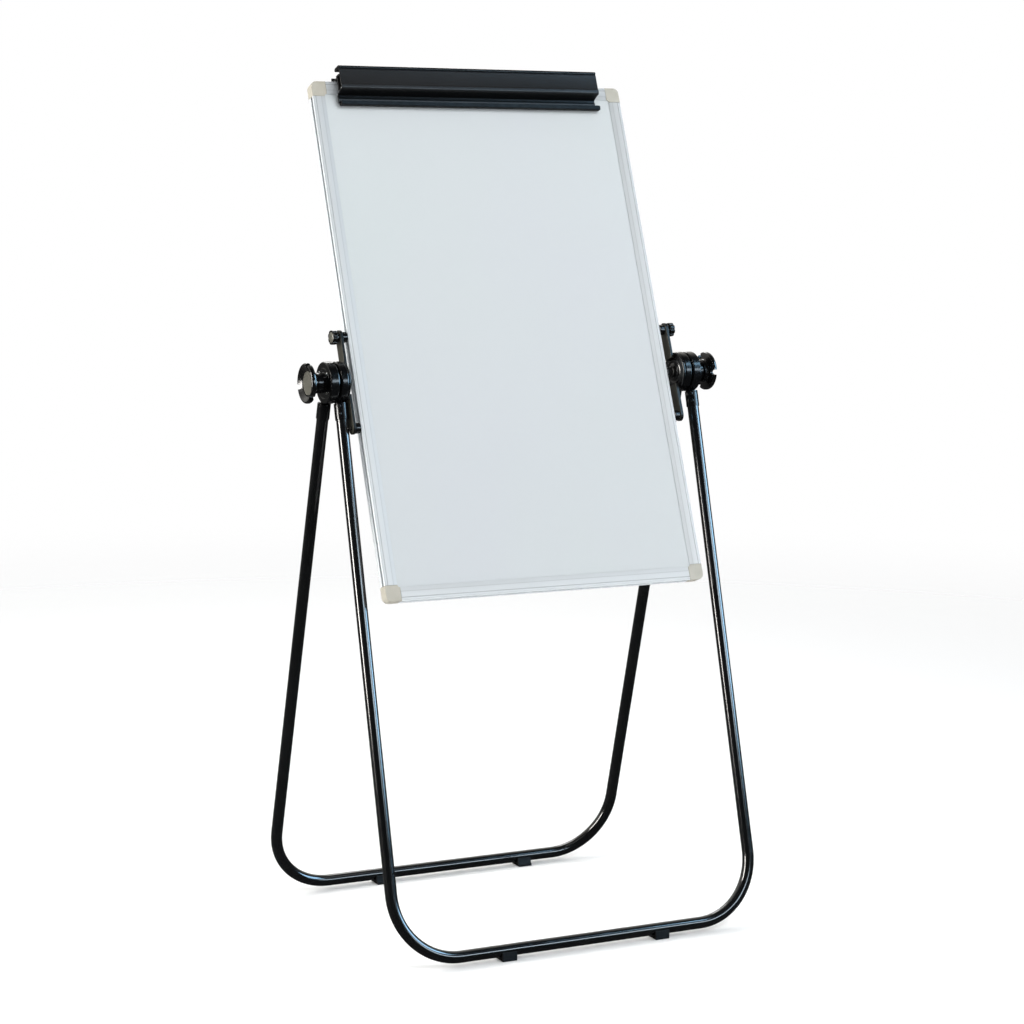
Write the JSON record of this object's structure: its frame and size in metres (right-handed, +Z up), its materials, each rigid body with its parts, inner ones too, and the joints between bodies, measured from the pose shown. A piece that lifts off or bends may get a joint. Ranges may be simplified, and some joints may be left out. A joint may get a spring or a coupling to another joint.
{
  "type": "whiteboard easel",
  "caption": "Free-standing whiteboard easel: a framed tilting and sliding board with a paper clamp, on folding bent-tube legs.",
  "frame": {"origin": "on the floor, straight below the middle of the hub axis", "axes": "+X to the right as seen from the writing side, -Y towards the writer, +Z up"},
  "size_m": [0.774, 0.5288, 1.4623],
  "materials": {
    "black_tube": "glossy black powder coat",
    "hub_black": "semi-gloss black moulding",
    "zinc_steel": "bright zinc plate",
    "black_rubber": "matte black",
    "black_steel": "blackened steel",
    "black_plastic": "fine-grained black",
    "cap_silver": "satin silver",
    "frame_silver": "satin anodised",
    "corner_grey": "satin light grey",
    "clamp_black": "black anodised",
    "writing_white": "glossy white enamel",
    "core": "honeycomb board",
    "backing": "grey coated sheet"
  },
  "bodies": {
    "front_leg": {"leg_front_tube": "black_tube", "hub_front_left": "hub_black", "hub_front_right": "hub_black", "screw_front_left_1": "black_steel", "screw_front_left_2": "black_steel", "screw_front_right_1": "black_steel", "screw_front_right_2": "black_steel", "foot_front_left": "black_rubber", "foot_front_right": "black_rubber"},
    "rear_leg": {"leg_rear_tube": "black_tube", "hub_rear_left": "hub_black", "hub_rear_right": "hub_black", "screw_rear_left_1": "black_steel", "screw_rear_left_2": "black_steel", "screw_rear_right_1": "black_steel", "screw_rear_right_2": "black_steel", "foot_rear_left": "black_rubber", "foot_rear_right": "black_rubber"},
    "tilt_arms": {"tilt_bracket_left": "hub_black", "tilt_bracket_right": "hub_black", "pivot_bolt_left": "zinc_steel", "pivot_bolt_right": "zinc_steel", "pivot_nut_left": "black_steel", "pivot_nut_right": "black_steel", "upper_bolt_left": "zinc_steel", "upper_bolt_right": "zinc_steel", "lower_bolt_left": "zinc_steel", "lower_bolt_right": "zinc_steel", "upper_spacer_left": "black_plastic", "upper_spacer_right": "black_plastic", "lower_spacer_left": "black_plastic", "lower_spacer_right": "black_plastic"},
    "board": {"frame_left": "frame_silver", "frame_right": "frame_silver", "frame_top": "frame_silver", "frame_bottom": "frame_silver", "corner_top_left": "corner_grey", "corner_top_right": "corner_grey", "corner_bottom_left": "corner_grey", "corner_bottom_right": "corner_grey", "writing_sheet": "writing_white", "panel_core": "core", "backing_sheet": "backing", "clamp_base": "clamp_black", "clamp_rod": "zinc_steel", "clamp_screw_1": "zinc_steel", "clamp_screw_2": "zinc_steel", "clamp_spring_1": "zinc_steel", "clamp_spring_2": "zinc_steel"},
    "clamp_jaw": {"clamp_jaw": "clamp_black", "clamp_strip": "black_rubber"},
    "hand_knob_left": {"hand_knob_left": "black_plastic", "hand_knob_cap_left": "cap_silver"},
    "hand_knob_right": {"hand_knob_right": "black_plastic", "hand_knob_cap_right": "cap_silver"},
    "thumb_knob_left": {"thumb_knob_left": "black_plastic", "thumb_cap_left": "cap_silver"},
    "thumb_knob_right": {"thumb_knob_right": "black_plastic", "thumb_cap_right": "cap_silver"}
  },
  "joints": [
    {"name": "leg_fold", "type": "hinge", "parent": "front_leg", "child": "rear_leg", "pos_m": [0, 0, 0.934], "axis": [1, 0, 0], "range_deg": [-27, 0]},
    {"name": "board_tilt", "type": "hinge", "parent": "front_leg", "child": "tilt_arms", "pos_m": [0, 0, 0.934], "axis": [1, 0, 0], "range_deg": [-110, 150]},
    {"name": "board_height", "type": "slide", "parent": "tilt_arms", "child": "board", "axis": [0, 0.36, 0.933], "range_m": [-0.25, 0.25]},
    {"name": "clamp_open", "type": "hinge", "parent": "board", "child": "clamp_jaw", "pos_m": [0, 0.1636, 1.42353], "axis": [-1, 0, 0], "range_deg": [0, 14], "stiffness_Nm_per_rad": 1.5, "springref_deg": -28.65},
    {"name": "hand_knob_left_turn", "type": "hinge", "parent": "rear_leg", "child": "hand_knob_left", "pos_m": [0, 0, 0.934], "axis": [1, 0, 0], "continuous": true},
    {"name": "hand_knob_right_turn", "type": "hinge", "parent": "front_leg", "child": "hand_knob_right", "pos_m": [0, 0, 0.934], "axis": [1, 0, 0], "continuous": true},
    {"name": "thumb_knob_left_turn", "type": "hinge", "parent": "tilt_arms", "child": "thumb_knob_left", "pos_m": [0, 0.02808, 1.00677], "axis": [1, 0, 0], "continuous": true},
    {"name": "thumb_knob_right_turn", "type": "hinge", "parent": "tilt_arms", "child": "thumb_knob_right", "pos_m": [0, 0.02808, 1.00677], "axis": [1, 0, 0], "continuous": true}
  ]
}
